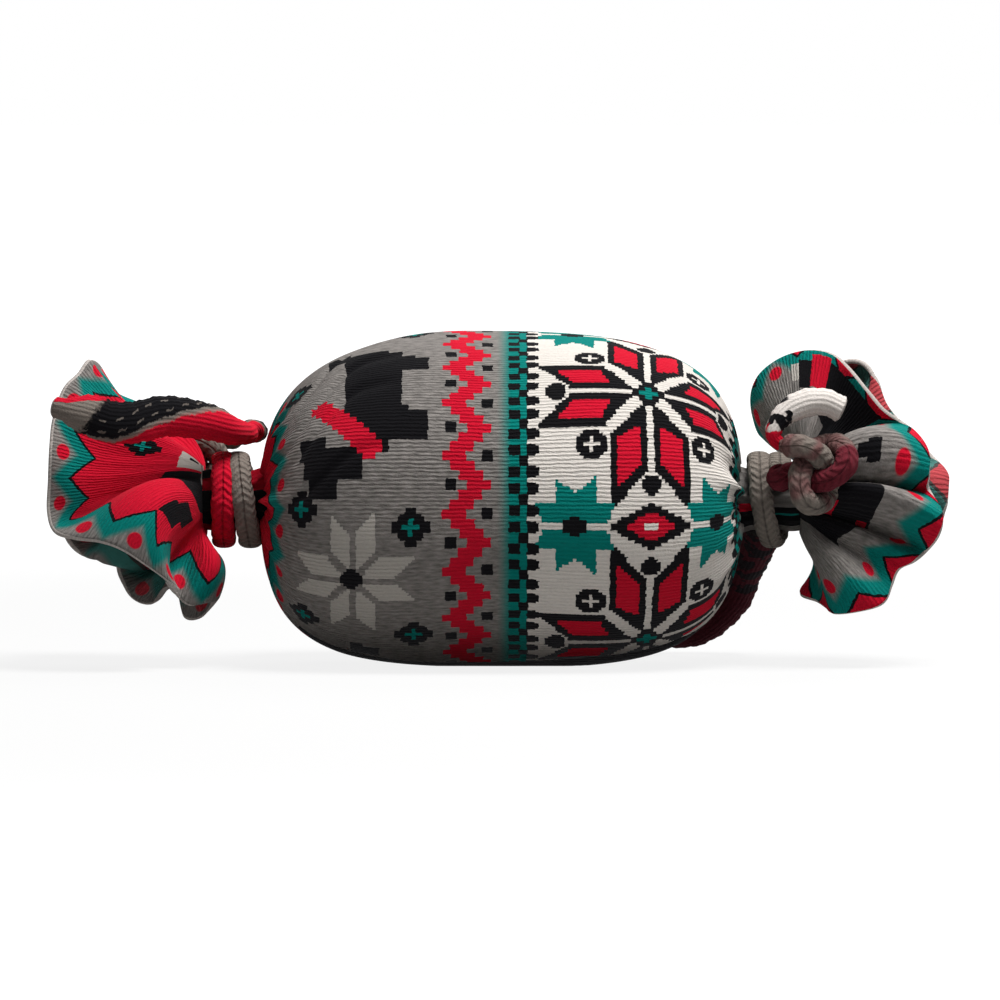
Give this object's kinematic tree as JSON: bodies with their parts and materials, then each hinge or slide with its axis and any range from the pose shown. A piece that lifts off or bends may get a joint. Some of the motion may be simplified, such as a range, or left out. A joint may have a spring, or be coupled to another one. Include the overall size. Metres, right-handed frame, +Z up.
{
  "type": "catnip cat toy",
  "caption": "Stuffed catnip toy shaped like a wrapped sweet: a printed cloth roll gathered and tied with cloth strips at both ends, with flared ruffles.",
  "frame": {"origin": "middle of the flat underside on which the stuffed body rests", "axes": "+X along the toy to the viewer's right, -Y towards the viewer, +Z up"},
  "size_m": [0.2045, 0.0762, 0.0758],
  "materials": {
    "printed_fleece": "brushed knit cloth, printed",
    "tie_strip": "brushed knit strip, rolled, reverse side out",
    "fibre_fill": "polyester fibre, loose",
    "dried_catnip": "dried leaf, crumbled"
  },
  "bodies": {
    "cover": {"cover_barrel": "printed_fleece", "filling_left_wad": "fibre_fill", "filling_right_wad": "fibre_fill", "catnip": "dried_catnip"},
    "left_neck": {"left_neck": "printed_fleece", "left_tie_winding": "tie_strip", "left_tie_knot": "tie_strip"},
    "left_ruffle": {"left_ruffle": "printed_fleece"},
    "left_tail": {"left_tie_tail": "tie_strip"},
    "right_neck": {"right_neck": "printed_fleece", "right_tie_winding": "tie_strip", "right_tie_knot": "tie_strip"},
    "right_ruffle": {"right_ruffle": "printed_fleece"},
    "right_tail": {"right_tie_tail": "tie_strip"},
    "right_short_tail": {"right_tie_short_tail": "tie_strip"}
  },
  "joints": [
    {"name": "left_neck_swing", "type": "hinge", "parent": "cover", "child": "left_neck", "pos_m": [-0.05514, 0, 0.0377], "axis": [0, 0, 1], "range_deg": [-8, 8], "stiffness_Nm_per_rad": 0.05},
    {"name": "left_ruffle_nod", "type": "hinge", "parent": "left_neck", "child": "left_ruffle", "pos_m": [-0.06579, 0, 0.0377], "axis": [0, 1, 0], "range_deg": [-20, 10], "stiffness_Nm_per_rad": 0.03},
    {"name": "left_tail_lift", "type": "hinge", "parent": "left_neck", "child": "left_tail", "pos_m": [-0.05912, 0.01966, 0.05142], "axis": [0, 1, 0], "range_deg": [0, 20]},
    {"name": "right_neck_swing", "type": "hinge", "parent": "cover", "child": "right_neck", "pos_m": [0.05514, 0, 0.0377], "axis": [0, 0, 1], "range_deg": [-8, 8], "stiffness_Nm_per_rad": 0.05},
    {"name": "right_ruffle_nod", "type": "hinge", "parent": "right_neck", "child": "right_ruffle", "pos_m": [0.06579, 0, 0.0377], "axis": [0, -1, 0], "range_deg": [-20, 10], "stiffness_Nm_per_rad": 0.03},
    {"name": "right_tail_swing", "type": "hinge", "parent": "right_neck", "child": "right_tail", "pos_m": [0.05864, 0.00979, 0.03492], "axis": [0, 0, 1], "range_deg": [-20, 0]},
    {"name": "right_short_tail_lift", "type": "hinge", "parent": "right_neck", "child": "right_short_tail", "pos_m": [0.06262, -0.01966, 0.05142], "axis": [0, -1, 0], "range_deg": [0, 12]}
  ]
}
